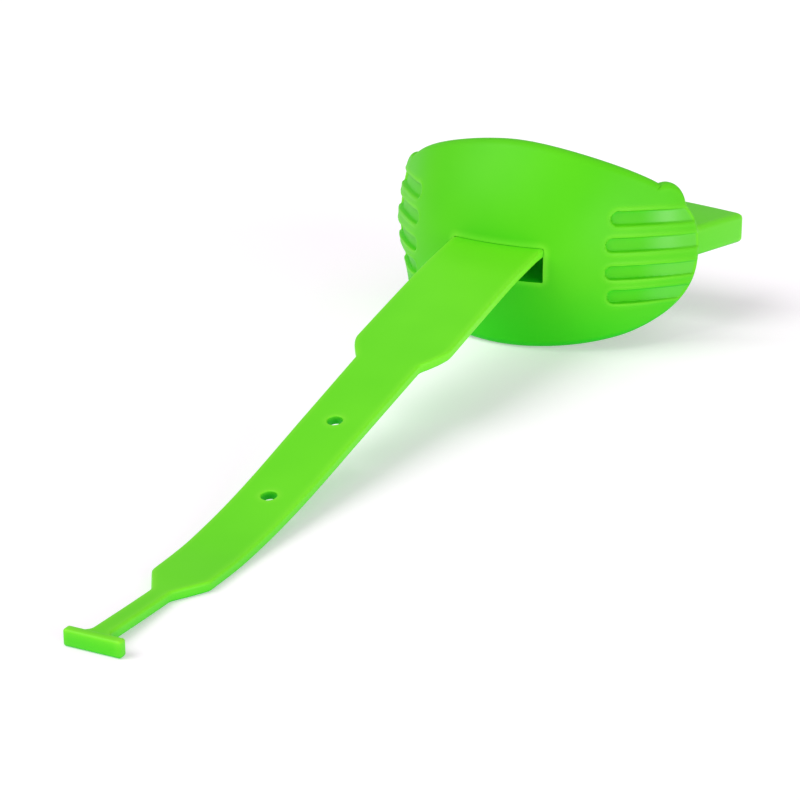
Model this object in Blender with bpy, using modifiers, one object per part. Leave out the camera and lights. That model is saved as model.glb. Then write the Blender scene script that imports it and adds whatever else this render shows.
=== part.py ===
"""Jar lifter: a curved, leaning grip pad with a flexible strap drawn through its slot.

The strap runs along Y. Its rear end carries a wide pull bar behind the pad, and its front end a small
tee bar that rests on the ground. The strap is one springy moulding on the real object; here it is a
chain of short strips that meet at hinge lines across X, so that it can curl.

Frame: metres, +Z up, ground at z = 0, the strap's centre line in the plane x = 0. The origin is on the
ground below the middle of the whole length.
"""

import math

import bmesh
import bpy
from mathutils import Matrix, Vector

MM = 0.001

CLEARANCE = 0.3 * MM        # gap between neighbouring pieces that touch

# Grip pad: a shell cut from a barrel whose axis stands upright behind the slot
PAD_RADIUS = 56.4 * MM      # outer plan radius at the slot's height
PAD_BOW_RADIUS = 95.0 * MM  # radius of the barrel's upright bow
PAD_WALL = 5.0 * MM
PAD_LEAN = math.radians(6.2)  # the pad leans back about the slot's front
PAD_SET_BACK = 1.0 * MM
PAD_MIDDLE = 34.3 * MM      # height of the outline's widest line
PAD_HALF_ARC = 67.8 * MM    # half of the outline's length round the barrel
PAD_RISE = 30.55 * MM       # outline height above the widest line
PAD_DROP = 34.03 * MM        # outline height below it
PAD_TOP_CURVE = (1.54, 2.41)     # powers of the upper outline, round the barrel and upwards
PAD_BOTTOM_CURVE = (1.7, 3.03)   # powers of the lower outline
PAD_BLUNTNESS = 0.13        # softens the outline where it crosses the middle
SWELL = 3.4 * MM            # the pad's front stands this far forward of the barrel
SWELL_MIDDLE = 36.6 * MM
SWELL_HALF_HEIGHT = 34.0 * MM
SWELL_HALF_ARC = 52.0 * MM
SWELL_BREADTH = 4.0         # keeps the swell full across the slot
TUCK = 2.2 * MM             # the lower flanks curl in by this much
TUCK_ARCS = (38.0 * MM, 58.0 * MM)     # where the tuck starts and is full, round the barrel
TUCK_HEIGHTS = (31.0 * MM, 13.0 * MM)  # and downwards
PAD_CELLS = (32, 20)
RIM_ROUND = 2.1 * MM

EAR_ARC = 55.4 * MM         # the small ear on each upper corner of the pad
EAR_HEIGHT = 47.6 * MM
EAR_RADIUS = 6.5 * MM

GROOVE_COUNT = 4
GROOVE_TOP = 43.9 * MM      # height of the uppermost groove
GROOVE_PITCH = 8.2 * MM
GROOVE_RADIUS = 2.5 * MM
GROOVE_DEPTH = 1.6 * MM
GROOVE_START = math.radians(34.5)
GROOVE_END = math.radians(80.0)

SLOT_WIDTH = 30.4 * MM
SLOT_BOTTOM = 23.6 * MM
SLOT_HEIGHT = 11.2 * MM
SLEEVE_WALL = 2.4 * MM      # the strap's guide sleeve behind the slot
SLEEVE_LENGTH = 23.0 * MM

# Strap: stations are distances in front of the slot, positive towards the tee bar
STRAP_THICKNESS = 2.8 * MM
WIDE_WIDTH = 29.8 * MM
BAND_WIDTH = 20.0 * MM
BAND_END_WIDTH = 17.0 * MM
NECK_WIDTH = 5.6 * MM
STRAP_REAR = -46.2 * MM
SHOULDER_START = 66.0 * MM
SHOULDER_END = 76.0 * MM
SHOULDER_POWER = 1.5        # the shoulders start softly and end in a corner
TAPER_START = 191.0 * MM
TAPER_END = 200.5 * MM
NECK_END = 229.0 * MM
NECK_FLARE = 2.4 * MM
HOLE_STATIONS = (108.3 * MM, 145.7 * MM)
HOLE_RADIUS = 2.2 * MM
EDGE_CHAMFER = 0.5 * MM

# Height of the strap's middle layer at stations along it
STRAP_COURSE = (
    (STRAP_REAR, 33.1 * MM),
    (-8.0 * MM, 33.1 * MM),
    (1.0 * MM, 33.07 * MM),
    (6.0 * MM, 32.75 * MM),
    (24.0 * MM, 30.3 * MM),
    (67.8 * MM, 21.8 * MM),
    (108.3 * MM, 13.3 * MM),
    (145.7 * MM, 5.5 * MM),
    (172.0 * MM, 2.0 * MM),
    (191.0 * MM, 1.5 * MM),
    (203.0 * MM, 1.6 * MM),
    (NECK_END, 2.8 * MM),
)

# Hinge lines where the strap flexes, front to back order along the stations
FLEX_STATIONS = (26.0 * MM, 86.0 * MM, 127.0 * MM, 166.0 * MM, 205.0 * MM)
FLEX_GAP = 0.44 * MM
STRIP_NAMES = ("strap_root", "strap_shoulder", "strap_upper_band", "strap_lower_band",
               "strap_end_band", "strap_neck")
STATION_STEP = 6.0 * MM

# Tee bar
TEE_WIDTH = 16.1 * MM
TEE_DEPTH = 2.8 * MM
TEE_HEIGHT = 4.6 * MM
TEE_ROUND = 0.6 * MM

# Pull bar: a flat wing whose ends droop
BAR_TOP = 34.9 * MM         # at the middle
BAR_THICKNESS = 9.8 * MM
BAR_DROOP = 2.8 * MM        # at the ends
BAR_FRONT = 46.5 * MM       # behind the slot
BAR_BACK = 70.0 * MM
BAR_HALF_LENGTH = 55.4 * MM
BAR_MITRE = math.radians(72.0)
BAR_ROUND = 1.4 * MM
BAR_WALL = 2.5 * MM         # the bar is cored out from below
BAR_PANELS = 8

# The origin is midway between the tee bar's front and the pull bar's back
SLOT_Y = (NECK_END + TEE_DEPTH - BAR_BACK) / 2

LIME = (0.16, 0.80, 0.025, 1.0)
LIME_LIGHT = (0.19, 0.83, 0.035, 1.0)
LIME_DEEP = (0.13, 0.72, 0.03, 1.0)


# ---------------------------------------------------------------- scene helpers

def clear_scene():
    """Removes every object, so that the script can run again in the same file."""
    for item in list(bpy.data.objects):
        bpy.data.objects.remove(item, do_unlink=True)


def new_collection(name):
    """Adds a collection to the scene."""
    collection = bpy.data.collections.new(name)
    bpy.context.scene.collection.children.link(collection)
    return collection


def silicone(name, colour, roughness):
    """A soft moulded material."""
    material = bpy.data.materials.new(name)
    material.use_nodes = True
    shader = material.node_tree.nodes["Principled BSDF"]
    shader.inputs["Base Color"].default_value = colour
    shader.inputs["Roughness"].default_value = roughness
    shader.inputs["Metallic"].default_value = 0.0
    return material


def add_object(name, shape, collection, material=None, smooth=40.0):
    """Turns a bmesh into a named object."""
    mesh = bpy.data.meshes.new(name)
    shape.to_mesh(mesh)
    shape.free()
    if material is not None:
        mesh.materials.append(material)
    mesh.shade_smooth()
    mesh.set_sharp_from_angle(angle=math.radians(smooth))
    item = bpy.data.objects.new(name, mesh)
    collection.objects.link(item)
    return item


def add_cutter(name, shape, collection):
    """Turns a bmesh into a hidden cutter."""
    cutter = add_object(name, shape, collection)
    cutter.hide_render = True
    cutter.display_type = "WIRE"
    return cutter


def combine(target, tool, operation):
    """Cuts target with tool, or joins tool to it."""
    modifier = target.modifiers.new(f"{operation.lower()}_{tool.name}", "BOOLEAN")
    modifier.operation = operation
    modifier.solver = "EXACT"
    modifier.object = tool


def bevel(target, width, segments, angle=50.0):
    """Rounds the sharp edges of an object."""
    modifier = target.modifiers.new("rounded_edges", "BEVEL")
    modifier.width = width
    modifier.segments = segments
    modifier.limit_method = "ANGLE"
    modifier.angle_limit = math.radians(angle)


def mesh_of(path):
    """Turns a curve object into a closed bmesh and removes the curve."""
    bpy.context.view_layer.update()
    mesh = bpy.data.meshes.new_from_object(path.evaluated_get(bpy.context.evaluated_depsgraph_get()))
    bpy.data.objects.remove(path, do_unlink=True)
    shape = bmesh.new()
    shape.from_mesh(mesh)
    bpy.data.meshes.remove(mesh)
    bmesh.ops.remove_doubles(shape, verts=shape.verts, dist=1e-6)
    return shape


def place_origin(item, point):
    """Moves an object's origin to a point, and leaves its shape where it is."""
    item.data.transform(Matrix.Translation(-point))
    item.location = item.location + point


def hang(child, parent):
    """Parents one object to another, keeping it in place."""
    child.parent = parent
    child.location = child.location - parent.matrix_world.translation


# ---------------------------------------------------------------- grip pad

def pad_placement():
    """Leans the upright pad back about the slot and sets it behind the strap's arch."""
    hinge = Vector((0, 0, SLOT_BOTTOM + SLOT_HEIGHT / 2))
    stand = Matrix.Translation((0, SLOT_Y + PAD_SET_BACK, 0))
    return stand @ Matrix.Translation(hinge) @ Matrix.Rotation(-PAD_LEAN, 4, "X") @ Matrix.Translation(-hinge)


def barrel_radius(height):
    """Outer plan radius of the barrel at a height."""
    rise = height - (SLOT_BOTTOM + SLOT_HEIGHT / 2)
    bow = PAD_BOW_RADIUS - math.sqrt(PAD_BOW_RADIUS ** 2 - rise ** 2)
    return PAD_RADIUS - bow


def smooth_share(value, start, end):
    """0 at start, 1 at end, with a soft change between."""
    t = min(max((value - start) / (end - start), 0.0), 1.0)
    return t * t * (3 - 2 * t)


def flank_tuck(arc, height):
    """How far the pad's lower flanks lie inside the barrel."""
    return TUCK * smooth_share(abs(arc), *TUCK_ARCS) * smooth_share(height, *TUCK_HEIGHTS)


def front_swell(arc, height):
    """How far the pad's front stands forward of the barrel."""
    across = min((arc / SWELL_HALF_ARC) ** 2, 1.0)
    up = min(((height - SWELL_MIDDLE) / SWELL_HALF_HEIGHT) ** 2, 1.0)
    return SWELL * (1 - across) ** 2 * (1 + SWELL_BREADTH * across) * (1 - up) ** 2


def barrel_point(angle, height, inset=0.0):
    """Point on the pad's upright outer surface, inset towards the barrel's axis."""
    arc = angle * PAD_RADIUS
    radius = barrel_radius(height) - inset - flank_tuck(arc, height)
    depth = PAD_RADIUS - radius * math.cos(angle) - front_swell(arc, height)
    return Vector((radius * math.sin(angle), depth, height))


def outline_point(direction, share):
    """Arc length and height of a point that lies a share of the way to the pad's outline."""
    across, up = math.cos(direction), math.sin(direction)
    powers, reach = (PAD_TOP_CURVE, PAD_RISE) if up >= 0 else (PAD_BOTTOM_CURVE, PAD_DROP)
    blunt = PAD_BLUNTNESS ** powers[0]
    full = (1 + PAD_BLUNTNESS ** 2) ** (powers[0] / 2) - blunt
    square = (full * across ** 2 + blunt) ** (2 / powers[0]) - PAD_BLUNTNESS ** 2
    arc = PAD_HALF_ARC * math.copysign(math.sqrt(max(square, 0.0)), across)
    rise = reach * math.copysign(abs(up) ** (2 / powers[1]), up)
    arc += math.copysign(0.9 * flank_tuck(arc, PAD_MIDDLE + rise), across)
    return arc * share, PAD_MIDDLE + rise * share


def pad_sheet():
    """The pad's outer surface: a square grid drawn out to the rounded outline and wrapped on the barrel."""
    sheet = bmesh.new()
    bmesh.ops.create_grid(sheet, x_segments=PAD_CELLS[0], y_segments=PAD_CELLS[1], size=1.0)
    for vertex in sheet.verts:
        x, y = vertex.co.x, vertex.co.y
        disc = Vector((x * math.sqrt(1 - y * y / 2), y * math.sqrt(1 - x * x / 2)))
        arc, height = outline_point(math.atan2(disc.y, disc.x), disc.length)
        vertex.co = barrel_point(arc / PAD_RADIUS, height)
    return sheet


def groove_cutter(height, side, collection):
    """A round-ended finger groove that runs round one side of the barrel and off its rim."""
    curve = bpy.data.curves.new("groove_path", "CURVE")
    curve.dimensions = "3D"
    curve.bevel_depth = GROOVE_RADIUS
    curve.bevel_resolution = 2
    curve.use_fill_caps = True
    inset = GROOVE_DEPTH - GROOVE_RADIUS
    tip = GROOVE_RADIUS / PAD_RADIUS
    rounding = [(GROOVE_START + tip * (1 - math.cos(turn)), math.sin(turn))
                for turn in (0.25, 0.6, 1.0, math.pi / 2)]
    steps = 9
    run = [(GROOVE_START + tip + (GROOVE_END - GROOVE_START - tip) * (i + 1) / steps, 1.0)
           for i in range(steps)]
    spline = curve.splines.new("POLY")
    spline.points.add(len(rounding) + len(run) - 1)
    for point, (angle, radius) in zip(spline.points, rounding + run):
        point.co = (*barrel_point(angle, height, inset), 1.0)
        point.radius = radius
    path = bpy.data.objects.new("groove_path", curve)
    collection.objects.link(path)
    shape = mesh_of(path)
    if shape.calc_volume(signed=True) < 0:
        bmesh.ops.reverse_faces(shape, faces=shape.faces)
    if side < 0:
        bmesh.ops.scale(shape, verts=shape.verts, vec=(-1, 1, 1))
        bmesh.ops.reverse_faces(shape, faces=shape.faces)
    return shape


def ear_blank(side):
    """A disc in the pad's wall, which stands a little proud of the outline at an upper corner."""
    angle = side * EAR_ARC / PAD_RADIUS
    middle = barrel_point(angle, EAR_HEIGHT, PAD_WALL / 2)
    outward = (barrel_point(angle, EAR_HEIGHT) - middle).normalized()
    lean = (SLOT_BOTTOM + SLOT_HEIGHT / 2 - EAR_HEIGHT) / PAD_BOW_RADIUS
    outward = (outward - Vector((0, 0, lean))).normalized()
    disc = bmesh.new()
    placed = Matrix.Translation(middle) @ Vector((0, 0, 1)).rotation_difference(outward).to_matrix().to_4x4()
    bmesh.ops.create_cone(disc, cap_ends=True, segments=24, radius1=EAR_RADIUS, radius2=EAR_RADIUS,
                          depth=PAD_WALL - 0.1 * MM, matrix=placed)
    return disc


def level_block(width, height, front, back):
    """A level block, centred on the slot's height, between two distances behind the pad's front."""
    shape = bmesh.new()
    bmesh.ops.create_cube(shape, size=1.0)
    bmesh.ops.scale(shape, verts=shape.verts, vec=(width, back - front, height))
    middle = Vector((0, SLOT_Y + (front + back) / 2, SLOT_BOTTOM + SLOT_HEIGHT / 2))
    bmesh.ops.translate(shape, verts=shape.verts, vec=middle)
    return shape


def build_pad(parts, cutters, material):
    """The shell with its ears, slot and finger grooves."""
    pad = add_object("grip_pad", pad_sheet(), parts, material)
    wall = pad.modifiers.new("wall", "SOLIDIFY")
    wall.thickness = PAD_WALL
    wall.offset = -1.0
    bevel(pad, RIM_ROUND, 2)
    placement = pad_placement()
    for side, name in ((-1, "left_ear"), (1, "right_ear")):
        ear = add_cutter(name, ear_blank(side), cutters)
        bevel(ear, RIM_ROUND, 2)
        ear.matrix_world = placement
        combine(pad, ear, "UNION")
    for index in range(GROOVE_COUNT):
        height = GROOVE_TOP - index * GROOVE_PITCH
        for side, name in ((-1, "left_groove"), (1, "right_groove")):
            cutter = add_cutter(f"{name}_{index + 1}", groove_cutter(height, side, cutters), cutters)
            cutter.matrix_world = placement
            combine(pad, cutter, "DIFFERENCE")
    outside = 2 * SLEEVE_WALL
    sleeve = add_cutter("sleeve", level_block(SLOT_WIDTH + outside, SLOT_HEIGHT + outside, PAD_WALL / 2,
                                              SLEEVE_LENGTH), cutters)
    combine(pad, sleeve, "UNION")
    passage = add_cutter("slot_cutter", level_block(SLOT_WIDTH, SLOT_HEIGHT, -2 * PAD_WALL,
                                                    SLEEVE_LENGTH + PAD_WALL), cutters)
    combine(pad, passage, "DIFFERENCE")
    pad.matrix_world = placement
    return pad


# ---------------------------------------------------------------- strap

def course_height(station):
    """Height of the strap's middle layer: a smooth curve through the course's points."""
    points = STRAP_COURSE
    index = max(i for i in range(len(points) - 1) if station >= points[i][0] or i == 0)
    (s0, z0), (s1, z1) = points[index], points[index + 1]

    def slope(i):
        before, after = points[max(i - 1, 0)], points[min(i + 1, len(points) - 1)]
        return (after[1] - before[1]) / (after[0] - before[0])

    span = s1 - s0
    t = (station - s0) / span
    return (z0 * (2 * t ** 3 - 3 * t ** 2 + 1) + slope(index) * span * (t ** 3 - 2 * t ** 2 + t)
            + z1 * (3 * t ** 2 - 2 * t ** 3) + slope(index + 1) * span * (t ** 3 - t ** 2))


def course_point(station):
    """Point on the strap's middle layer."""
    return Vector((0, SLOT_Y - station, course_height(station)))


def course_normal(station):
    """Direction out of the strap's upper face."""
    step = 0.2 * MM
    along = course_point(station + step) - course_point(station - step)
    return Vector((0, along.z, -along.y)).normalized()


def half_width(station):
    """Half of the strap's width: wide section, shoulders, tapering band, angular end and neck."""
    if station < SHOULDER_END:
        share = max(station - SHOULDER_START, 0.0) / (SHOULDER_END - SHOULDER_START)
        return (WIDE_WIDTH + (BAND_WIDTH - WIDE_WIDTH) * share ** SHOULDER_POWER) / 2
    if station < TAPER_START:
        share = (station - SHOULDER_END) / (TAPER_START - SHOULDER_END)
        return (BAND_WIDTH + (BAND_END_WIDTH - BAND_WIDTH) * share) / 2
    if station < TAPER_END:
        share = (station - TAPER_START) / (TAPER_END - TAPER_START)
        return (BAND_END_WIDTH + (NECK_WIDTH - BAND_END_WIDTH) * share) / 2
    reach = min(max(station - (NECK_END - NECK_FLARE), 0.0), NECK_FLARE)
    flare = NECK_FLARE - math.sqrt(NECK_FLARE ** 2 - reach ** 2)
    return NECK_WIDTH / 2 + flare * 0.8


def strap_section(station, half_thickness):
    """Ring of eight corners round the strap at a station."""
    centre, up, across = course_point(station), course_normal(station), Vector((1, 0, 0))
    side = half_width(station)
    cut = min(EDGE_CHAMFER, half_thickness * 0.6)
    corners = ((side, half_thickness - cut), (side - cut, half_thickness))
    ring = [(x, z) for x, z in corners]
    ring += [(-x, z) for x, z in reversed(corners)]
    ring += [(-x, -z) for x, z in corners]
    ring += [(x, -z) for x, z in reversed(corners)]
    return [centre + across * x + up * z for x, z in ring]


def loft(rings):
    """A closed body through rings of equal length."""
    shape = bmesh.new()
    layers = [[shape.verts.new(point) for point in ring] for ring in rings]
    for near, far in zip(layers, layers[1:]):
        for i in range(len(near)):
            j = (i + 1) % len(near)
            shape.faces.new((near[i], near[j], far[j], far[i]))
    shape.faces.new(layers[0])
    shape.faces.new(reversed(layers[-1]))
    bmesh.ops.recalc_face_normals(shape, faces=shape.faces)
    return shape


def rounded_end(station, inward):
    """Stations and half thicknesses that round off one end of a strip."""
    radius = STRAP_THICKNESS / 2
    return [(station + inward * radius * (1 - math.cos(turn)), radius * math.sin(turn))
            for turn in (0.45, 0.95, math.pi / 2)]


def strip_stations(start, end):
    """Even stations between a strip's rounded ends, with the outline's own corners added."""
    margin = STRAP_THICKNESS
    low, high = start + margin, end - margin
    count = max(round((high - low) / STATION_STEP), 1)
    stations = {round(low + (high - low) * i / count, 6) for i in range(count + 1)}
    corners = [SHOULDER_START + (SHOULDER_END - SHOULDER_START) * i / 6 for i in range(7)]
    corners += [TAPER_START, TAPER_END, NECK_END - NECK_FLARE, NECK_END - NECK_FLARE / 3]
    inside = {round(corner, 6) for corner in corners if low < corner < high}
    crowded = {s for s in stations for c in inside if 0 < abs(s - c) < 1.0 * MM}
    return sorted((stations - crowded) | inside)


def strip_body(start, end, round_start, round_end):
    """One stretch of the strap, with rounded ends where it meets another stretch at a hinge line."""
    radius = STRAP_THICKNESS / 2
    sections = rounded_end(start, 1) if round_start else [(start, radius)]
    sections += [(station, radius) for station in strip_stations(start, end)]
    sections += reversed(rounded_end(end, -1)) if round_end else [(end, radius)]
    return loft([strap_section(station, half) for station, half in sections])


def hole_cutter(station, index, cutters):
    """A round hole square to the strap."""
    shape = bmesh.new()
    turn = Vector((0, 0, 1)).rotation_difference(course_normal(station)).to_matrix().to_4x4()
    placed = Matrix.Translation(course_point(station)) @ turn
    bmesh.ops.create_cone(shape, cap_ends=True, segments=24, radius1=HOLE_RADIUS, radius2=HOLE_RADIUS,
                          depth=4 * STRAP_THICKNESS, matrix=placed)
    return add_cutter(f"hole_cutter_{index}", shape, cutters)


def build_strap(parts, cutters, material):
    """The chain of strips, from the rear end to the tee bar's neck."""
    bounds = [STRAP_REAR, *FLEX_STATIONS, NECK_END - CLEARANCE]
    strips = []
    for index, name in enumerate(STRIP_NAMES):
        first, last = index == 0, index == len(STRIP_NAMES) - 1
        start = bounds[index] + (0 if first else FLEX_GAP / 2)
        end = bounds[index + 1] - (0 if last else FLEX_GAP / 2)
        strip = add_object(name, strip_body(start, end, not first, not last), parts, material)
        for number, hole in enumerate(HOLE_STATIONS, 1):
            if start < hole < end:
                combine(strip, hole_cutter(hole, number, cutters), "DIFFERENCE")
        place_origin(strip, course_point(max(bounds[index], 0)))
        strips.append(strip)
    bpy.context.view_layer.update()
    for parent, child in zip(strips, strips[1:]):
        hang(child, parent)
        bpy.context.view_layer.update()
    return strips


def build_tee(parts, material):
    """The small cross bar on the strap's front end."""
    shape = bmesh.new()
    bmesh.ops.create_cube(shape, size=1.0)
    bmesh.ops.scale(shape, verts=shape.verts, vec=(TEE_WIDTH, TEE_DEPTH, TEE_HEIGHT))
    middle = Vector((0, SLOT_Y - NECK_END - TEE_DEPTH / 2, TEE_HEIGHT / 2))
    bmesh.ops.translate(shape, verts=shape.verts, vec=middle)
    tee = add_object("tee_bar", shape, parts, material)
    bevel(tee, TEE_ROUND, 2)
    return tee


def bar_blank(inset, bottom, top):
    """The bar's mitred outline, drawn in by an inset, between two heights, with drooping ends."""
    front, back = BAR_FRONT + inset, BAR_BACK - inset
    side = inset / math.sin(BAR_MITRE)
    back_half = BAR_HALF_LENGTH - side - inset / math.tan(BAR_MITRE)
    front_half = back_half - (back - front) / math.tan(BAR_MITRE)
    outline = bpy.data.curves.new("bar_outline", "CURVE")
    outline.dimensions = "2D"
    outline.fill_mode = "BOTH"
    outline.extrude = (top - bottom) / 2
    spline = outline.splines.new("POLY")
    corners = ((-front_half, front), (front_half, front), (back_half, back), (-back_half, back))
    spline.points.add(len(corners) - 1)
    for point, corner in zip(spline.points, corners):
        point.co = (*corner, 0, 1)
    spline.use_cyclic_u = True
    flat = bpy.data.objects.new("bar_outline", outline)
    bpy.context.scene.collection.objects.link(flat)
    shape = mesh_of(flat)
    bmesh.ops.dissolve_limit(shape, angle_limit=0.01, verts=shape.verts, edges=shape.edges)
    for panel in range(1, BAR_PANELS):
        cut = front_half * (2 * panel / BAR_PANELS - 1)
        bmesh.ops.bisect_plane(shape, geom=shape.verts[:] + shape.edges[:] + shape.faces[:],
                               plane_co=(cut, 0, 0), plane_no=(1, 0, 0))
    for vertex in shape.verts:
        vertex.co.z -= BAR_DROOP * (vertex.co.x / BAR_HALF_LENGTH) ** 2
    bmesh.ops.translate(shape, verts=shape.verts, vec=(0, SLOT_Y, (top + bottom) / 2))
    return shape


def build_pull_bar(parts, cutters, material):
    """The wide bar on the strap's rear end."""
    bottom = BAR_TOP - BAR_THICKNESS
    bar = add_object("pull_bar", bar_blank(0.0, bottom, BAR_TOP), parts, material)
    bevel(bar, BAR_ROUND, 2)
    core = add_cutter("bar_core", bar_blank(BAR_WALL, bottom - BAR_WALL, BAR_TOP - BAR_WALL), cutters)
    combine(bar, core, "DIFFERENCE")
    return bar


def build():
    """Makes the whole object."""
    clear_scene()
    parts = new_collection("jar_lifter")
    cutters = new_collection("jar_lifter_cutters")
    build_pad(parts, cutters, silicone("pad_silicone", LIME, 0.38))
    strips = build_strap(parts, cutters, silicone("strap_silicone", LIME_LIGHT, 0.36))
    tee = build_tee(parts, silicone("tee_silicone", LIME_LIGHT, 0.34))
    bar = build_pull_bar(parts, cutters, silicone("bar_silicone", LIME_DEEP, 0.38))
    hang(tee, strips[-1])
    hang(bar, strips[0])


build()
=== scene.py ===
"""The looks of the silicone strap grip: fine meshes, materials, light and camera.

Metres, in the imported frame: the ground is z = 0, and the strap runs along Y. Stations are distances
along the strap in front of the pad's slot, positive towards the T end. On the pad, an arc is a length
round the barrel from its front line, positive towards +X.
"""

import math

import bmesh
import bpy
import numpy as np
from mathutils import Matrix, Vector


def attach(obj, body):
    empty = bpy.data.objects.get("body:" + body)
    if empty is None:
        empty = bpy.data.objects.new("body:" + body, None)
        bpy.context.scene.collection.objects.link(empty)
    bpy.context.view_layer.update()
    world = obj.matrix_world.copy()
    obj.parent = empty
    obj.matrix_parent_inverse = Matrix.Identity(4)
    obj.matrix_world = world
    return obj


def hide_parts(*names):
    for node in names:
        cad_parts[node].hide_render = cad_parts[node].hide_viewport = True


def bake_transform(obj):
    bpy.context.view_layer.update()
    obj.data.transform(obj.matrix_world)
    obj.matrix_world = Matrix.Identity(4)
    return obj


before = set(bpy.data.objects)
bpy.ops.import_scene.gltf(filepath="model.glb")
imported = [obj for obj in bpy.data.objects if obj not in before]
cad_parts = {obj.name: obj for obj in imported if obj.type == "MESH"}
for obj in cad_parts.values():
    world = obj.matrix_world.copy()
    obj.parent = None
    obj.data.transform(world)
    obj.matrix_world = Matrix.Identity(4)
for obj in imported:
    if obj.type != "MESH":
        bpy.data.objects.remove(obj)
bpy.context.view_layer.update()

MM = 0.001

# Grip pad: a shell cut from an upright barrel that leans back about the slot
PAD_RADIUS = 56.4 * MM
PAD_BOW_RADIUS = 95.0 * MM
PAD_WALL = 5.0 * MM
PAD_LEAN = math.radians(6.2)
PAD_SET_BACK = 1.0 * MM
PAD_MIDDLE = 34.3 * MM
PAD_HALF_ARC = 67.8 * MM
PAD_RISE = 30.55 * MM
PAD_DROP = 33.6 * MM
PAD_TOP_CURVE = (1.54, 2.41)     # powers of the upper outline, round the barrel and upwards
PAD_BOTTOM_CURVE = (1.7, 3.03)   # powers of the lower outline
PAD_BLUNTNESS = 0.13        # softens the outline where it crosses the middle
SWELL = 3.4 * MM            # the pad's front stands this far forward of the barrel
SWELL_MIDDLE = 36.6 * MM
SWELL_HALF_HEIGHT = 34.0 * MM
SWELL_HALF_ARC = 52.0 * MM
SWELL_BREADTH = 4.0         # keeps the swell full across the slot
TUCK = 2.2 * MM             # the lower flanks curl in by this much
TUCK_ARCS = (38.0 * MM, 58.0 * MM)     # where the tuck starts and is full, round the barrel
TUCK_HEIGHTS = (31.0 * MM, 13.0 * MM)  # and downwards
TUCK_AT_RIM = 0.9           # the outline grows round the barrel by this share of the tuck
RIM_ROUND = 2.1 * MM
RIM_STEPS = 7

EAR_ARC = 55.4 * MM
# side, height, radius, and how softly it runs into the rim
EARS = ((-1, 46.4 * MM, 5.9 * MM, 4.0 * MM), (1, 47.6 * MM, 6.5 * MM, 0.8 * MM))

# Each groove from the top down: where it starts, in degrees round the barrel, and its height
GROOVES = ((35.6, 44.2 * MM), (34.4, 36.15 * MM), (34.6, 27.45 * MM), (35.5, 19.65 * MM))
GROOVE_HALF_HEIGHT = 2.35 * MM
GROOVE_DEPTH = 1.5 * MM
GROOVE_WALL = 0.5 * MM      # width of the sloping walls
GROOVE_LIP = 0.10 * MM      # low bead round each groove
GROOVE_LIP_WIDTH = 1.3 * MM
GROOVE_FADE = 0.3           # share of the depth left at the rim
GROOVE_FADE_GAPS = (0.4 * MM, 2.0 * MM)  # distances inside the rim over which the depth comes back
GROOVE_RUN_OUT = {-1: 0.0, 1: 0.55}      # share of the depth lost along a groove, by side
GROOVE_RUN_OUT_ARCS = (42.0 * MM, 64.0 * MM)
GROOVE_RIM_BLEND = 0.15 * MM  # softens the line where a groove runs over the rounded rim
GROOVE_RIM_LEAST = 0.02 * MM  # shallower grooves leave the rim as it is
POLISH_ARCS = (44.0 * MM, 58.0 * MM)  # where the groove floors turn glossy towards the right rim

# Spokes round the pad, rows on its outer face and rows on its inner face
PAD_MESH_FINE = (760, 92, 26)
GROOVE_SECTOR = math.radians(27)  # the spokes stand closer on the flanks, this far above and below level
GROOVE_CROWDING = 1.6
LEAST_SLANT = 0.5           # sine of the flattest angle at which a spoke is taken to meet the rim

SLOT_WIDTH = 30.08 * MM
SLOT_BOTTOM = 23.6 * MM
SLOT_HEIGHT = 10.93 * MM
SLOT_MIDDLE = SLOT_BOTTOM + SLOT_HEIGHT / 2
SLOT_CORNER = 0.5 * MM
SLOT_EDGE = 0.06 * MM
SLEEVE_WALL = 2.4 * MM
SLEEVE_LENGTH = 25.0 * MM
SLEEVE_ROUND = 0.7 * MM
SLEEVE_FILLET = 1.2 * MM
EDGE_STEPS = 4              # steps round each small edge of the slot and the sleeve

# Strap
STRAP_THICKNESS = 2.8 * MM
WIDE_WIDTH = 30.0 * MM
BAND_WIDTH = 20.0 * MM
BAND_END_WIDTH = 17.0 * MM
NECK_WIDTH = 5.6 * MM
SHOULDER_START = 66.0 * MM
SHOULDER_END = 76.0 * MM
SHOULDER_POWER = 1.5        # the shoulders start softly and end in a corner
TAPER_START = 191.0 * MM
TAPER_END = 200.5 * MM
NECK_END = 229.0 * MM
NECK_FLARE = 2.4 * MM
NECK_FLARE_REACH = 0.8      # share of a full quarter round
CORNER_SOFTENING = 0.7 * MM  # the outline is averaged this far to each side
EDGE_ROUND_TOP = 0.8 * MM
EDGE_ROUND_BOTTOM = 0.6 * MM
SECTION_COLUMNS = 14
SECTION_TURNS = 5
SECTION_STEP = 0.9 * MM
HOLE_STATIONS = (108.3 * MM, 145.7 * MM)
HOLE_RADIUS = 2.2 * MM
HOLE_LIP = 0.35 * MM
HOLE_SIDES = 48
HOLE_OVERCUT = 1.0 * MM

# Height of the strap's middle layer at stations along it
STRAP_COURSE = (
    (-46.2 * MM, 33.1 * MM),
    (-8.0 * MM, 33.1 * MM),
    (1.0 * MM, 33.07 * MM),
    (6.0 * MM, 32.75 * MM),
    (24.0 * MM, 30.3 * MM),
    (67.8 * MM, 21.8 * MM),
    (108.3 * MM, 13.3 * MM),
    (145.7 * MM, 5.5 * MM),
    (172.0 * MM, 2.0 * MM),
    (191.0 * MM, 1.5 * MM),
    (203.0 * MM, 1.6 * MM),
    (NECK_END, 2.8 * MM),
)

# The strap is made in stretches: where they start, and where the last one ends
STRETCH_ENDS = (-47.4 * MM, 56.0 * MM, 114.5 * MM, 153.0 * MM, 184.0 * MM, 229.8 * MM)
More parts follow.
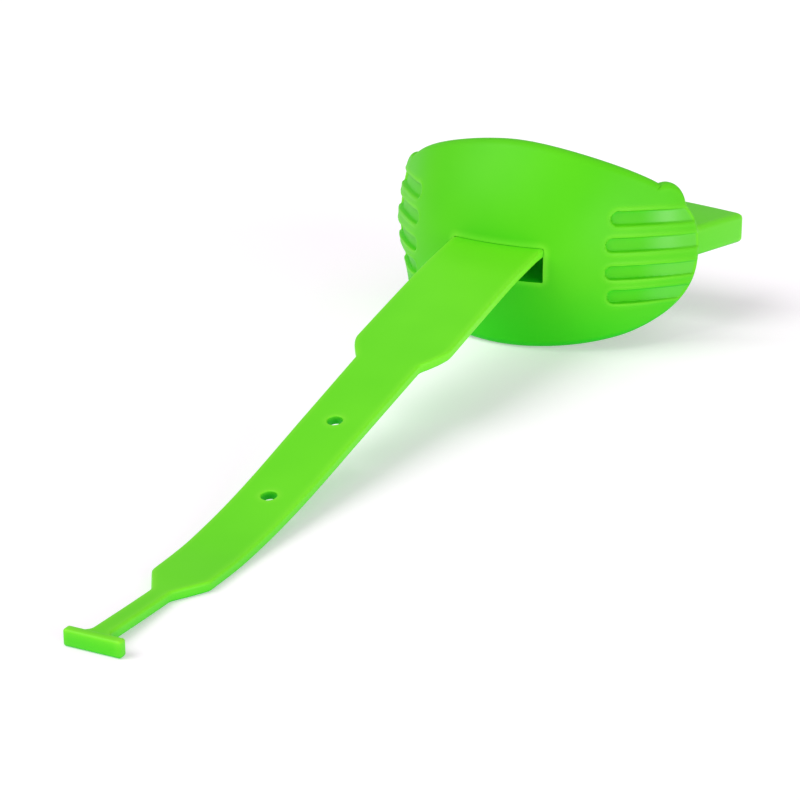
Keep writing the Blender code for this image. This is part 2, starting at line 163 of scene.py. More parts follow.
# name, station of its bend, reach of the bend to each side, bodies at its ends, CAD nodes it stands for
STRETCHES = (
    ("strap_at_slot", 26.0 * MM, 11.0 * MM, ("strap_rear", "strap_wide"), ("strap_root",)),
    ("strap_shoulders", 86.0 * MM, 9.0 * MM, ("strap_wide", "band_upper"), ("strap_shoulder",)),
    ("strap_upper_holes", 127.0 * MM, 9.0 * MM, ("band_upper", "band_lower"), ("strap_upper_band",)),
    ("strap_lower", 166.0 * MM, 10.0 * MM, ("band_lower", "band_end"), ("strap_lower_band",)),
    ("strap_tee_end", 205.0 * MM, 6.0 * MM, ("band_end", "strap_tip"),
     ("strap_end_band", "strap_neck", "tee_bar")),
)

# T end
TEE_WIDTH = 16.1 * MM
TEE_DEPTH = 2.8 * MM
TEE_HEIGHT = 4.6 * MM
TEE_ROUND = 0.75 * MM

# Pull bar
BAR_TOP = 34.9 * MM         # at the middle
BAR_THICKNESS = 9.8 * MM
BAR_DROOP = 2.8 * MM        # at the ends
BAR_FRONT = 46.5 * MM       # behind the slot
BAR_BACK = 70.0 * MM
BAR_HALF_LENGTH = 55.4 * MM
BAR_MITRE = math.radians(72.0)
BAR_WALL = 2.5 * MM         # the bar is cored out from below
BAR_ROUND = 2.2 * MM
BAR_CORE_ROUND = 1.0 * MM
BAR_ROUNDED_ANGLE = math.radians(50)  # sharper edges than this are rounded
BAR_PANELS = 56

SLOT_Y = (NECK_END + TEE_DEPTH - BAR_BACK) / 2

# Looks: deep and light green, roughness and gloss
PAD_LOOK = ((0.080, 0.585, 0.002), (0.097, 0.62, 0.003), 0.50, 0.20)
STRAP_LOOK = ((0.128, 0.71, 0.006), (0.152, 0.76, 0.009), 0.42, 0.25)
BAR_LOOK = ((0.10, 0.63, 0.005), (0.12, 0.66, 0.008), 0.42, 0.35)
# Painted glow: a paler green at thin edges and corners, standing in for light shining through the silicone
PAINTED_GLOW_GREEN = (0.28, 0.86, 0.04)
PAINTED_GLOW_REACH = 2.4 * MM
PAINTED_GLOW_SHARES = (0.2, 0.95)   # solidity at which the painted edge glow is full and ends
# Painted shade: a deep green in hollows, in the slot and where parts crowd one another, standing in for
# shadow
PAINTED_SHADE_GREEN = (0.006, 0.54, 0.001)
PAINTED_SHADE_REACH = 45.0 * MM
PAINTED_SHADE_SHARES = (0.25, 0.80)  # openness at which the painted shade is full and ends
OPENNESS_SAMPLES = 8
DRIFT_SCALE = 28.0          # noise cells to a metre
DRIFT_SHARES = (0.3, 0.7)
SWELL_SCALE = 160.0
GRAIN_SCALE = 2600.0
GRAIN_RELIEF = 0.25         # height of the fine grain against the broad swell
GRAIN_ROUGHNESS = (-0.05, 0.07)
RELIEF_STRENGTH = 0.25
RELIEF_DEPTH = 0.05 * MM
POLISH_ROUGHNESS = -0.25    # change of roughness and gloss on the glossy groove floors
POLISH_GLOSS = 0.8

# Stage
FLOOR_HALF_SIZE = 9.0
FLOOR_DROP = 0.0001
FLOOR_PAPER = (0.80, 0.80, 0.80)
FLOOR_ROUGHNESS = 0.9
FLOOR_LIGHT = (1.0, 0.86, 1.0)  # a little short of green, which the part throws back on the floor
FLOOR_GLOW = 0.34
SKY_STRENGTH = 0.42
# name, azimuth and elevation that the light comes from, energy, angular size
SUNS = (
    ("key", -45.0, 48.0, 1.75, 44.0),
    ("fill", 66.0, 3.0, 2.6, 50.0),
)
CAMERA_AZIMUTH = 26.327     # degrees round the object, from its front towards its right
CAMERA_ELEVATION = 21.397
CAMERA_PLACE = (0.29791, -0.58949, 0.26969)
CAMERA_LENS = 112.5
CAMERA_SENSOR = 36.0


# ---------------------------------------------------------------- materials

def new_material(name):
    """An empty material: itself, its node tree and its shader."""
    material = bpy.data.materials.new(name)
    material.use_nodes = True
    return material, material.node_tree, material.node_tree.nodes["Principled BSDF"]


def add_node(tree, kind, inputs, **settings):
    """Adds a node. A socket given as an input is linked, and anything else is its constant."""
    item = tree.nodes.new(kind)
    for key, value in settings.items():
        setattr(item, key, value)
    for key, value in inputs.items():
        if isinstance(value, bpy.types.NodeSocket):
            tree.links.new(value, item.inputs[key])
        else:
            item.inputs[key].default_value = value
    return item


def add_noise(tree, place, scale, detail):
    """Soft noise at a place."""
    inputs = {"Vector": place, "Scale": scale, "Detail": detail}
    return add_node(tree, "ShaderNodeTexNoise", inputs).outputs["Fac"]


def scaled_sum(tree, value, factor, added):
    """value * factor + added."""
    inputs = {0: value, 1: factor, 2: added}
    return add_node(tree, "ShaderNodeMath", inputs, operation="MULTIPLY_ADD").outputs["Value"]


def painted_light_by_openness(tree, other, green, reach, shares, inside):
    """Another colour, giving way to a painted green where little space is open, outside or inside the wall:
    inside it paints a glow at thin edges, outside it paints shade in hollows.
    """
    space = add_node(tree, "ShaderNodeAmbientOcclusion", {"Distance": reach},
                     samples=OPENNESS_SAMPLES, inside=inside).outputs["AO"]
    share = add_node(tree, "ShaderNodeMapRange",
                     {"Value": space, "From Min": shares[0], "From Max": shares[1]}).outputs["Result"]
    return add_node(tree, "ShaderNodeMix", {"Factor": share, "A": (*green, 1.0), "B": other},
                    data_type="RGBA").outputs["Result"]


def silicone_colour_with_painted_light(tree, place, deep, light):
    """A slow drift between two greens, with a painted glow where the wall is thin and painted shade in the
    hollows.
    """
    drift = add_node(tree, "ShaderNodeValToRGB", {"Fac": add_noise(tree, place, DRIFT_SCALE, 2.0)})
    for element, share, green in zip(drift.color_ramp.elements, DRIFT_SHARES, (deep, light)):
        element.position = share
        element.color = (*green, 1.0)
    # painted glow: paler green where the wall is thin, standing in for light shining through it
    with_painted_glow = painted_light_by_openness(tree, drift.outputs["Color"], PAINTED_GLOW_GREEN, PAINTED_GLOW_REACH, PAINTED_GLOW_SHARES, True)
    # painted shade: deep green in hollows and where parts crowd one another
    return painted_light_by_openness(tree, with_painted_glow, PAINTED_SHADE_GREEN, PAINTED_SHADE_REACH, PAINTED_SHADE_SHARES, False)


def silicone(name, deep, light, roughness, gloss, polished=False):
    """Matt moulded silicone with a fine blasted grain. A polished one has glossier groove floors."""
    material, tree, shader = new_material(name)
    place = tree.nodes.new("ShaderNodeTexCoord").outputs["Object"]
    grain = add_noise(tree, place, GRAIN_SCALE, 3.0)
    # the base colour carries painted glow at thin edges and painted shade in hollows
    tree.links.new(silicone_colour_with_painted_light(tree, place, deep, light), shader.inputs["Base Color"])

    smoothest, roughest = (roughness + change for change in GRAIN_ROUGHNESS)
    inputs = {"Value": grain, "To Min": smoothest, "To Max": roughest}
    rough = add_node(tree, "ShaderNodeMapRange", inputs).outputs["Result"]
    shader.inputs["Specular IOR Level"].default_value = gloss
    if polished:
        floors = add_node(tree, "ShaderNodeAttribute", {}, attribute_name="polish").outputs["Fac"]
        rough = scaled_sum(tree, floors, POLISH_ROUGHNESS, rough)
        tree.links.new(scaled_sum(tree, floors, POLISH_GLOSS, gloss), shader.inputs["Specular IOR Level"])
    tree.links.new(rough, shader.inputs["Roughness"])

    relief = scaled_sum(tree, grain, GRAIN_RELIEF, add_noise(tree, place, SWELL_SCALE, 2.0))
    inputs = {"Strength": RELIEF_STRENGTH, "Distance": RELIEF_DEPTH, "Height": relief}
    bump = add_node(tree, "ShaderNodeBump", inputs).outputs["Normal"]
    tree.links.new(bump, shader.inputs["Normal"])
    return material


def paper(name):
    """The pale floor, lit a little from below like a light table."""
    material, _, shader = new_material(name)
    shader.inputs["Base Color"].default_value = (*FLOOR_PAPER, 1.0)
    shader.inputs["Roughness"].default_value = FLOOR_ROUGHNESS
    shader.inputs["Specular IOR Level"].default_value = 0.0
    shader.inputs["Emission Color"].default_value = (*FLOOR_LIGHT, 1.0)
    shader.inputs["Emission Strength"].default_value = FLOOR_GLOW
    return material


# ---------------------------------------------------------------- helpers

def smooth_share(value, start, end):
    """0 before start, 1 after end, with a soft change between."""
    t = np.clip((value - start) / (end - start), 0.0, 1.0)
    return t * t * (3 - 2 * t)


def linked_object(name, data):
    """A new object in the scene, holding a mesh, a light or a camera."""
    item = bpy.data.objects.new(name, data)
    bpy.context.scene.collection.objects.link(item)
    return item


def add_piece(name, mesh, material, sharp=42.0):
    """Adds a finished mesh to the scene as a smooth-shaded piece."""
    mesh.materials.clear()
    mesh.materials.append(material)
    mesh.shade_smooth()
    mesh.set_sharp_from_angle(angle=math.radians(sharp))
    return linked_object(name, mesh)


def mesh_from_rings(name, rings, wrap):
    """A mesh from an array of equal rings of points, closed into a loop or capped at both ends."""
    count, size, _ = rings.shape
    corner = np.arange(count * size).reshape(count, size)
    ahead = np.roll(corner, -1, axis=0)
    quads = np.stack((corner, np.roll(corner, -1, 1), np.roll(ahead, -1, 1), ahead), axis=-1)
    if wrap:
        faces = quads.reshape(-1, 4).tolist()
    else:
        faces = quads[:-1].reshape(-1, 4).tolist() + [corner[0][::-1].tolist(), corner[-1].tolist()]
    mesh = bpy.data.meshes.new(name)
    mesh.from_pydata(rings.reshape(-1, 3).tolist(), [], faces)
    shape = bmesh.new()
    shape.from_mesh(mesh)
    if shape.calc_volume(signed=True) < 0:
        bmesh.ops.reverse_faces(shape, faces=shape.faces)
    shape.to_mesh(mesh)
    shape.free()
    return mesh


def evaluated_mesh(item):
    """The mesh of an object with its modifiers applied. The object is removed."""
    bpy.context.view_layer.update()
    mesh = bpy.data.meshes.new_from_object(item.evaluated_get(bpy.context.evaluated_depsgraph_get()))
    bpy.data.objects.remove(item, do_unlink=True)
    return mesh


def combined(name, base, tool, operation):
    """A base mesh with a tool mesh cut from it or joined to it."""
    body = linked_object(name, base)
    helper = linked_object(f"{name}_tool", tool)
    step = body.modifiers.new("step", "BOOLEAN")
    step.operation = operation
    step.solver = "EXACT"
    step.object = helper
    result = evaluated_mesh(body)
    bpy.data.objects.remove(helper, do_unlink=True)
    return result


# ---------------------------------------------------------------- grip pad

def barrel_radius(height):
    """Outer plan radius of the barrel at a height."""
    return PAD_RADIUS - PAD_BOW_RADIUS + np.sqrt(PAD_BOW_RADIUS ** 2 - (height - SLOT_MIDDLE) ** 2)


def flank_tuck(arc, height):
    """How far the pad's lower flanks lie inside the barrel."""
    return TUCK * smooth_share(np.abs(arc), *TUCK_ARCS) * smooth_share(height, *TUCK_HEIGHTS)


def front_swell(arc, height):
    """How far the pad's front stands forward of the barrel."""
    across = np.minimum((arc / SWELL_HALF_ARC) ** 2, 1.0)
    up = np.minimum(((height - SWELL_MIDDLE) / SWELL_HALF_HEIGHT) ** 2, 1.0)
    return SWELL * (1 - across) ** 2 * (1 + SWELL_BREADTH * across) * (1 - up) ** 2


def barrel_points(arc, height, inset):
    """World points of the leaning pad, at an arc length round the barrel, a height and an inset."""
    radius = barrel_radius(height) - inset - flank_tuck(arc, height)
    angle = arc / PAD_RADIUS
    depth = PAD_RADIUS - radius * np.cos(angle) - front_swell(arc, height)
    rise = height - SLOT_MIDDLE
    y = SLOT_Y + PAD_SET_BACK + math.cos(PAD_LEAN) * depth + math.sin(PAD_LEAN) * rise
    z = SLOT_MIDDLE - math.sin(PAD_LEAN) * depth + math.cos(PAD_LEAN) * rise
    return np.stack((radius * np.sin(angle), y, z), axis=-1)


def barrel_place(x, z, inset):
    """Arc length and height where a level line along Y meets the leaning barrel."""
    depth = np.zeros_like(x)
    for _ in range(12):
        height = SLOT_MIDDLE + (z - SLOT_MIDDLE + math.sin(PAD_LEAN) * depth) / math.cos(PAD_LEAN)
        radius = barrel_radius(height) - inset
        arc = PAD_RADIUS * np.arcsin(x / radius)
        depth = PAD_RADIUS - np.sqrt(radius ** 2 - x ** 2) - front_swell(arc, height)
    return arc, height


def rim_reach(direction):
    """Distance from the slot's middle to the rim along each direction, ears included."""
    turn = np.linspace(-math.pi, math.pi, 8001)
    across, up = np.cos(turn), np.sin(turn)
    top = np.where(up >= 0, 1.0, 0.0)
    power_arc = top * PAD_TOP_CURVE[0] + (1 - top) * PAD_BOTTOM_CURVE[0]
    power_rise = top * PAD_TOP_CURVE[1] + (1 - top) * PAD_BOTTOM_CURVE[1]
    reach = top * PAD_RISE + (1 - top) * PAD_DROP
    blunt = PAD_BLUNTNESS ** power_arc
    full = (1 + PAD_BLUNTNESS ** 2) ** (power_arc / 2) - blunt
    square = (full * across ** 2 + blunt) ** (2 / power_arc) - PAD_BLUNTNESS ** 2
    arc = PAD_HALF_ARC * np.sign(across) * np.sqrt(np.maximum(square, 0.0))
    height = PAD_MIDDLE + reach * np.sign(up) * np.abs(up) ** (2 / power_rise)
    arc += np.sign(across) * TUCK_AT_RIM * flank_tuck(arc, height)
    angle = np.unwrap(np.arctan2(height - SLOT_MIDDLE, arc))
    far = np.interp(direction, angle, np.hypot(arc, height - SLOT_MIDDLE), period=2 * math.pi)
    for side, ear_height, radius, blend in EARS:
        rise = ear_height - SLOT_MIDDLE
        distance = math.hypot(EAR_ARC, rise)
        aim = math.atan2(rise, side * EAR_ARC)
        miss = distance * np.sin(direction - aim)
        inside = np.clip(radius ** 2 - miss ** 2, 0.0, None)
        ear = (distance * np.cos(direction - aim) + np.sqrt(inside)) * (inside > 0)
        far = (far + ear + np.sqrt((far - ear) ** 2 + (blend * (ear > 0)) ** 2)) / 2
    return far


def pad_directions(count):
    """Directions of the pad's spokes, packed closer where the grooves are."""
    direction = np.linspace(-math.pi, math.pi, 4001)
    reach = rim_reach(direction)
    flank = np.abs(np.sin(direction)) < math.sin(GROOVE_SECTOR)
    density = reach * (1.0 + GROOVE_CROWDING * flank)
    total = np.concatenate(([0.0], np.cumsum((density[1:] + density[:-1]) / 2)))
    return np.interp(np.arange(count) / count * total[-1], total, direction)


def slot_ring(direction, margin):
    """Rounded rectangle round the slot, grown by a margin, along each direction."""
    half_width, half_height = SLOT_WIDTH / 2 + margin, SLOT_HEIGHT / 2 + margin
    corner = SLOT_CORNER + margin
    ux, uz = np.abs(np.cos(direction)), np.abs(np.sin(direction))
    flat = np.minimum(half_width / np.maximum(ux, 1e-9), half_height / np.maximum(uz, 1e-9))
    cx, cz = half_width - corner, half_height - corner
    along = ux * cx + uz * cz
    rounded = along + np.sqrt(np.clip(along ** 2 - cx ** 2 - cz ** 2 + corner ** 2, 0.0, None))
    in_corner = (ux * flat > cx) & (uz * flat > cz)
    distance = np.where(in_corner, rounded, flat)
    return distance * np.cos(direction), SLOT_MIDDLE + distance * np.sin(direction)


def groove_inset(arc, height, rim_gap):
    """Depth of the finger grooves below the outer surface, with a low bead round each."""
    inset = np.zeros_like(arc)
    depth = GROOVE_DEPTH * (GROOVE_FADE + (1 - GROOVE_FADE) * smooth_share(rim_gap, *GROOVE_FADE_GAPS))
    loss = np.where(arc > 0, GROOVE_RUN_OUT[1], GROOVE_RUN_OUT[-1])
    depth = depth * (1 - loss * smooth_share(np.abs(arc), *GROOVE_RUN_OUT_ARCS))
    for end, middle in GROOVES:
        start = math.radians(end) * PAD_RADIUS + GROOVE_HALF_HEIGHT
        before = np.maximum(start - np.abs(arc), 0.0)
        gap = np.hypot(before, height - middle) - GROOVE_HALF_HEIGHT
        inset += depth * (1 - smooth_share(gap, -GROOVE_WALL, 0.0))
        bead = np.clip(gap / GROOVE_LIP_WIDTH, 0.0, 1.0)
        inset -= GROOVE_LIP * np.sin(math.pi * bead) ** 2
    return inset


class PadRim:
    """The pad's rim, met by spokes that start round the slot."""

    def __init__(self, spokes):
        self.direction = pad_directions(spokes)
        reach = rim_reach(self.direction)
        self.arc = reach * np.cos(self.direction)
        self.height = SLOT_MIDDLE + reach * np.sin(self.direction)
        self.tangent = np.stack((np.roll(self.arc, -1) - np.roll(self.arc, 1),
                                 np.roll(self.height, -1) - np.roll(self.height, 1)))
        self.tangent /= np.hypot(*self.tangent)

    def gap(self, start):
        """Distance from each spoke's start to the rim, measured square to the rim."""
        along = np.stack((self.arc - start[0], self.height - start[1]))
        length = np.hypot(*along)
        square = np.abs(along[0] * self.tangent[1] - along[1] * self.tangent[0]) / length
        return length * np.clip(square, LEAST_SLANT, 1.0)

    def inside(self, start, left):
        """Arc length and height on each spoke, at a distance left to the rim."""
        share = 1 - left / self.gap(start)
        return (start[0] + (self.arc - start[0]) * share, start[1] + (self.height - start[1]) * share)


def quarter_turn(steps):
    """Angles from 0 to 90 degrees."""
    return np.linspace(0.0, math.pi / 2, steps + 1)


def slot_edge_rings(rim):
    """The slot's slightly eased front edge, from inside outwards."""
    rings = []
    for turn in np.linspace(math.pi / 2, 0.0, EDGE_STEPS + 1)[:-1]:
        inset = SLOT_EDGE * (1 - math.cos(turn))
        arc, height = barrel_place(*slot_ring(rim.direction, SLOT_EDGE * (1 - math.sin(turn))), inset)
        rings.append(barrel_points(arc, height, inset))
    return rings


def outer_face_rings(rim, start, rows):
    """The outer face with its grooves, and how glossy each of its points is."""
    rings, shine = [], []
    for share in np.linspace(0.0, 1.0, rows):
        left = RIM_ROUND + (rim.gap(start) - RIM_ROUND) * (1 - share)
        arc, height = rim.inside(start, left)
        groove = groove_inset(arc, height, left)
        rings.append(barrel_points(arc, height, groove))
        shine.append(groove / GROOVE_DEPTH * smooth_share(arc, *POLISH_ARCS))
    return rings, np.clip(shine, 0.0, 1.0)


def rim_rings(rim, start):
    """The front half of the rounded rim, notched where the grooves run over it."""
    rings = []
    for turn in quarter_turn(RIM_STEPS)[1:]:
        left = RIM_ROUND * (1 - math.sin(turn))
        arc, height = rim.inside(start, left)
        rounding = RIM_ROUND * (1 - math.cos(turn))
        groove = groove_inset(arc, height, left)
        softened = (rounding + groove + np.sqrt((rounding - groove) ** 2 + GROOVE_RIM_BLEND ** 2)) / 2
        rings.append(barrel_points(arc, height, np.where(groove > GROOVE_RIM_LEAST, softened, rounding)))
    return rings


def inner_face_rings(rim, start, rows):
    """The back half of the rounded rim, and the plain inner face."""
    rings = []
    for turn in quarter_turn(RIM_STEPS)[::-1]:
        arc, height = rim.inside(start, RIM_ROUND * (1 - math.sin(turn)))
        rings.append(barrel_points(arc, height, PAD_WALL - RIM_ROUND * (1 - math.cos(turn))))
    for share in np.linspace(1.0, 0.0, rows)[1:]:
        arc, height = rim.inside(start, RIM_ROUND + (rim.gap(start) - RIM_ROUND) * (1 - share))
        rings.append(barrel_points(arc, height, PAD_WALL))
    return rings


def sleeve_rings(rim, mouth):
    """The guide sleeve: fillet, outside, rounded end, and the passage back to the slot's mouth."""
    def ring(margin, y):
        x, z = slot_ring(rim.direction, margin)
        return np.stack((x, np.broadcast_to(y, x.shape), z), axis=-1)

    rings = []
    end = SLOT_Y + SLEEVE_LENGTH
    for turn in quarter_turn(EDGE_STEPS)[1:]:
        margin = SLEEVE_WALL + SLEEVE_FILLET - SLEEVE_FILLET * math.sin(turn)
        arc, height = barrel_place(*slot_ring(rim.direction, margin), PAD_WALL)
        wall = barrel_points(arc, height, PAD_WALL)[:, 1]
        rings.append(ring(margin, wall + SLEEVE_FILLET * (1 - math.cos(turn))))
    last = rings[-1][:, 1]
    for share in (0.35, 0.7):
        rings.append(ring(SLEEVE_WALL, last + (end - SLEEVE_ROUND - last) * share))
    for turn in quarter_turn(EDGE_STEPS):
        rings.append(ring(SLEEVE_WALL - SLEEVE_ROUND * (1 - math.cos(turn)),
                          end - SLEEVE_ROUND * (1 - math.sin(turn))))
    for turn in quarter_turn(EDGE_STEPS)[::-1]:
        rings.append(ring(SLEEVE_ROUND * (1 - math.cos(turn)), end - SLEEVE_ROUND * (1 - math.sin(turn))))
    for share in np.linspace(0.0, 1.0, 9)[1:-1]:
        rings.append(ring(0.0, end - SLEEVE_ROUND + (mouth - end + SLEEVE_ROUND) * share))
    return rings


def pad_mesh():
    """The pad as one closed skin: outer face, rim, inner face, guide sleeve and slot."""
    spokes, rows, back_rows = PAD_MESH_FINE
    rim = PadRim(spokes)
    rings = slot_edge_rings(rim)
    outer_start = barrel_place(*slot_ring(rim.direction, SLOT_EDGE), 0.0)
    face, shine = outer_face_rings(rim, outer_start, rows)
    face_index = len(rings)
    rings += face + rim_rings(rim, outer_start)
    inner_start = barrel_place(*slot_ring(rim.direction, SLEEVE_WALL + SLEEVE_FILLET), PAD_WALL)
    rings += inner_face_rings(rim, inner_start, back_rows)
    rings += sleeve_rings(rim, rings[0][:, 1])
    mesh = mesh_from_rings("grip_pad_skin", np.array(rings), wrap=True)
    polish = np.zeros((len(rings), spokes), dtype=np.float32)
    polish[face_index:face_index + rows] = shine
    mesh.attributes.new("polish", "FLOAT", "POINT").data.foreach_set("value", polish.ravel())
    return mesh


def build_pad(material):
    """The grip pad."""
    piece = add_piece("grip_pad_shell", pad_mesh(), material, 50.0)
    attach(piece, "pad")
    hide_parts("grip_pad")


# ---------------------------------------------------------------- strap

def course_height(station):
    """Height of the strap's middle layer: a smooth curve through the course's points."""
    points = STRAP_COURSE
    index = max(i for i in range(len(points) - 1) if station >= points[i][0] or i == 0)
    (s0, z0), (s1, z1) = points[index], points[index + 1]

    def slope(i):
        before, after = points[max(i - 1, 0)], points[min(i + 1, len(points) - 1)]
        return (after[1] - before[1]) / (after[0] - before[0])

    span = s1 - s0
    t = (station - s0) / span
    return (z0 * (2 * t ** 3 - 3 * t ** 2 + 1) + slope(index) * span * (t ** 3 - 2 * t ** 2 + t)
            + z1 * (3 * t ** 2 - 2 * t ** 3) + slope(index + 1) * span * (t ** 3 - t ** 2))


def course_point(station):
    """Point on the strap's middle layer."""
    return Vector((0, SLOT_Y - station, course_height(station)))


def course_normal(station):
    """Direction out of the strap's upper face."""
    step = 0.2 * MM
    along = course_point(station + step) - course_point(station - step)
    return Vector((0, along.z, -along.y)).normalized()


def half_width(station):
    """Half of the strap's width: wide section, shoulders, tapering band, angular end and neck."""
    if station < SHOULDER_END:
        share = max(station - SHOULDER_START, 0.0) / (SHOULDER_END - SHOULDER_START)
        return (WIDE_WIDTH + (BAND_WIDTH - WIDE_WIDTH) * share ** SHOULDER_POWER) / 2
    if station < TAPER_START:
        share = (station - SHOULDER_END) / (TAPER_START - SHOULDER_END)
        return (BAND_WIDTH + (BAND_END_WIDTH - BAND_WIDTH) * share) / 2
    if station < TAPER_END:
        share = (station - TAPER_START) / (TAPER_END - TAPER_START)
        return (BAND_END_WIDTH + (NECK_WIDTH - BAND_END_WIDTH) * share) / 2
    reach = min(max(station - (NECK_END - NECK_FLARE), 0.0), NECK_FLARE)
    flare = NECK_FLARE - math.sqrt(NECK_FLARE ** 2 - reach ** 2)
    return NECK_WIDTH / 2 + flare * NECK_FLARE_REACH


def soft_half_width(station):
    """Half width with the outline's corners rounded a little."""
    shares = (-1.0, -0.5, 0.0, 0.5, 1.0)
    return sum(half_width(station + CORNER_SOFTENING * share) for share in shares) / len(shares)


def strap_section(station):
    """Ring of points round the strap at a station, with rounded edges and a flat top and bottom."""
    centre, up = course_point(station), course_normal(station)
    side, half = soft_half_width(station), STRAP_THICKNESS / 2
    corners = ((1, 1, EDGE_ROUND_TOP, 0.0), (-1, 1, EDGE_ROUND_TOP, 90.0),
               (-1, -1, EDGE_ROUND_BOTTOM, 180.0), (1, -1, EDGE_ROUND_BOTTOM, 270.0))
    profile = []
    for corner_x, corner_z, radius, start in corners:
        cx, cz = corner_x * (side - radius), corner_z * (half - radius)
        for turn in range(SECTION_TURNS + 1):
            angle = math.radians(start + 90.0 * turn / SECTION_TURNS)
            profile.append((cx + radius * math.cos(angle), cz + radius * math.sin(angle)))
        if corner_x == corner_z:
            run = -2 * corner_x * (side - radius)
            last_x, last_z = profile[-1]
            profile += [(last_x + run * i / SECTION_COLUMNS, last_z) for i in range(1, SECTION_COLUMNS)]
    return [centre + Vector((x, 0, 0)) + up * z for x, z in profile]


def strap_mesh(name, start, end):
    """A stretch of strap between two stations."""
    count = max(int(round((end - start) / SECTION_STEP)), 2)
    stations = [start + (end - start) * i / count for i in range(count + 1)]
    return mesh_from_rings(name, np.array([strap_section(station) for station in stations]), wrap=False)


def hole_tool(station):
    """Cutter for a round hole whose lips are rounded off."""
    half = STRAP_THICKNESS / 2
    upper = [(HOLE_RADIUS + HOLE_LIP * (1 - math.cos(turn)), half - HOLE_LIP * (1 - math.sin(turn)))
             for turn in quarter_turn(EDGE_STEPS)]
    upper.append((HOLE_RADIUS + HOLE_LIP, half + HOLE_OVERCUT))
    outline = [(radius, -z) for radius, z in reversed(upper)] + upper
    turns = np.linspace(0.0, 2 * math.pi, HOLE_SIDES, endpoint=False)
    rings = np.array([[(radius * math.cos(turn), radius * math.sin(turn), z) for turn in turns]
                      for radius, z in outline])
    mesh = mesh_from_rings("hole_tool", rings, wrap=False)
    tilt = Vector((0, 0, 1)).rotation_difference(course_normal(station)).to_matrix().to_4x4()
    mesh.transform(Matrix.Translation(course_point(station)) @ tilt)
    return mesh


def rounded_block(size, centre, radius):
    """A block with rounded edges."""
    shape = bmesh.new()
    bmesh.ops.create_cube(shape, size=1.0)
    bmesh.ops.scale(shape, verts=shape.verts, vec=size)
    bmesh.ops.translate(shape, verts=shape.verts, vec=centre)
    bmesh.ops.bevel(shape, geom=shape.edges[:], offset=radius, segments=EDGE_STEPS, profile=0.5,
                    affect="EDGES")
    mesh = bpy.data.meshes.new("rounded_block")
    shape.to_mesh(mesh)
    shape.free()
    return mesh


def open_seams(mesh):
    """Removes the caps where a stretch meets its neighbour, so that its painted edge glow has no line there.
    """
    shape = bmesh.new()
    shape.from_mesh(mesh)
    seams = [course_point(station) for station in STRETCH_ENDS[1:-1]]
    caps = [face for face in shape.faces
            if min((face.calc_center_median() - seam).length for seam in seams) < STRAP_THICKNESS / 4]
    bmesh.ops.delete(shape, geom=caps, context="FACES_ONLY")
    shape.to_mesh(mesh)
    shape.free()


def build_strap(material):
    """The strap in stretches, and its T."""
    tee = rounded_block((TEE_WIDTH, TEE_DEPTH, TEE_HEIGHT),
                        (0, SLOT_Y - NECK_END - TEE_DEPTH / 2, TEE_HEIGHT / 2), TEE_ROUND)
    tools = {
        "strap_shoulders": (hole_tool(HOLE_STATIONS[0]), "DIFFERENCE"),
        "strap_upper_holes": (hole_tool(HOLE_STATIONS[1]), "DIFFERENCE"),
        "strap_tee_end": (tee, "UNION"),
    }
    for stretch, start, end in zip(STRETCHES, STRETCH_ENDS, STRETCH_ENDS[1:]):
        name, flex, reach, bodies, replaced = stretch
        mesh = strap_mesh(name, start, end)
        if name in tools:
            mesh = combined(name, mesh, *tools[name])
        open_seams(mesh)
        piece = add_piece(name, mesh, material)
        tuple(course_point(flex - reach))
        tuple(course_point(flex + reach))
        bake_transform(piece)
        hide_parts(*replaced)


# ---------------------------------------------------------------- pull bar

def bar_blank(inset, bottom, top):
    """The bar's mitred outline, drawn in by an inset, between two heights, with drooping ends."""
    front, back = BAR_FRONT + inset, BAR_BACK - inset
    back_half = BAR_HALF_LENGTH - inset / math.sin(BAR_MITRE) - inset / math.tan(BAR_MITRE)
    front_half = back_half - (back - front) / math.tan(BAR_MITRE)
    rings = []
    for share in np.linspace(-1.0, 1.0, BAR_PANELS + 1):
        front_place = (share * front_half, SLOT_Y + front)
        back_place = (share * back_half, SLOT_Y + back)
        rings.append([(*front_place, bottom), (*back_place, bottom), (*back_place, top), (*front_place, top)])
    rings = np.array(rings)
    rings[:, :, 2] -= BAR_DROOP * (rings[:, :, 0] / BAR_HALF_LENGTH) ** 2
    return mesh_from_rings("bar_blank", rings, wrap=False)


def rounded_mesh(name, mesh, radius, steps):
    """A copy of a mesh with its sharp edges rounded."""
    body = linked_object(name, mesh)
    rounding = body.modifiers.new("rounding", "BEVEL")
    rounding.width = radius
    rounding.segments = steps
    rounding.angle_limit = BAR_ROUNDED_ANGLE
    return evaluated_mesh(body)


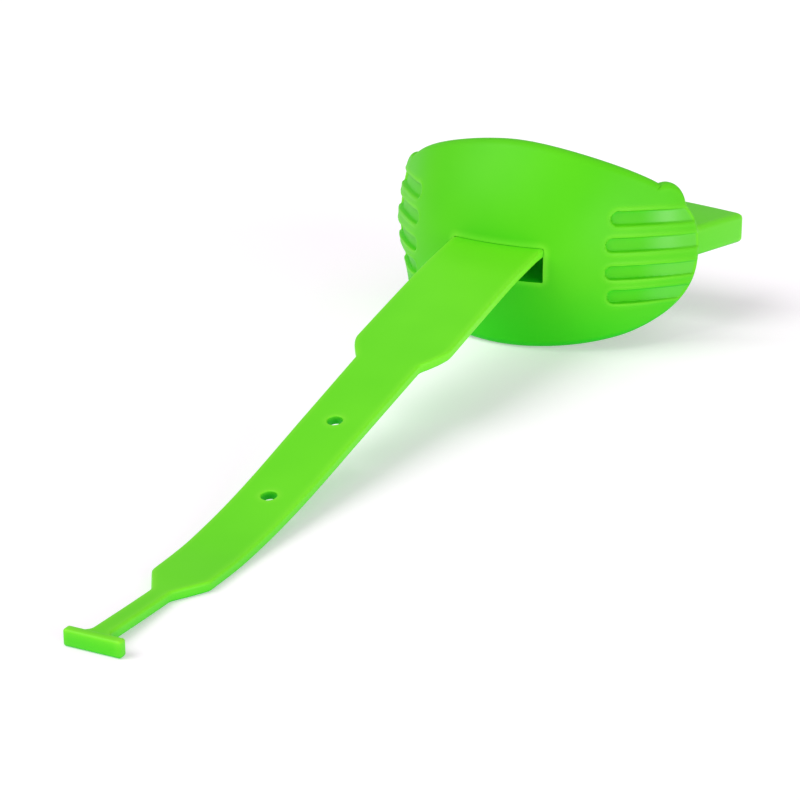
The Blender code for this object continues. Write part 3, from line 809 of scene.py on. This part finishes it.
def build_bar(material):
    """The wing-shaped pull bar, cored out from below."""
    bottom = BAR_TOP - BAR_THICKNESS
    outer = rounded_mesh("bar_body", bar_blank(0.0, bottom, BAR_TOP), BAR_ROUND, 6)
    core = rounded_mesh("bar_core", bar_blank(BAR_WALL, bottom - BAR_WALL, BAR_TOP - BAR_WALL),
                        BAR_CORE_ROUND, 3)
    piece = add_piece("pull_bar_wing", combined("bar_wing", outer, core, "DIFFERENCE"), material, 35.0)
    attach(piece, "strap_rear")
    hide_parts("pull_bar")


# ---------------------------------------------------------------- stage

def build_floor():
    """A wide white floor just under the ground plane."""
    half = FLOOR_HALF_SIZE
    mesh = bpy.data.meshes.new("floor")
    mesh.from_pydata([(-half, -half, 0), (half, -half, 0), (half, half, 0), (-half, half, 0)], [],
                     [(0, 1, 2, 3)])
    mesh.materials.append(paper("floor_paper"))
    floor = linked_object("floor", mesh)
    floor.location.z = -FLOOR_DROP


def build_lights():
    """An even sky, a broad soft key light from the left and a low fill from the right."""
    world = bpy.data.worlds.new("studio")
    bpy.context.scene.world = world
    world.use_nodes = True
    sky = world.node_tree.nodes["Background"]
    sky.inputs["Color"].default_value = (1.0, 1.0, 1.0, 1.0)
    sky.inputs["Strength"].default_value = SKY_STRENGTH
    for name, azimuth, elevation, energy, spread in SUNS:
        light = bpy.data.lights.new(name, "SUN")
        light.energy = energy
        light.angle = math.radians(spread)
        lamp = linked_object(name, light)
        lamp.rotation_euler = (math.radians(90 - elevation), 0, math.radians(azimuth))


def build_camera():
    """A long lens in front of the strap's T end, to its right and above it."""
    camera = bpy.data.cameras.new("camera")
    camera.sensor_width = CAMERA_SENSOR
    camera.lens = CAMERA_LENS
    holder = linked_object("camera", camera)
    holder.location = CAMERA_PLACE
    holder.rotation_euler = (math.radians(90 - CAMERA_ELEVATION), 0, math.radians(CAMERA_AZIMUTH))
    bpy.context.scene.camera = holder
    bpy.context.scene.view_settings.view_transform = "Standard"


build_floor()
build_lights()
build_camera()
build_pad(silicone("pad_silicone_look", *PAD_LOOK, polished=True))
build_strap(silicone("strap_silicone_look", *STRAP_LOOK))
build_bar(silicone("bar_silicone_look", *BAR_LOOK))
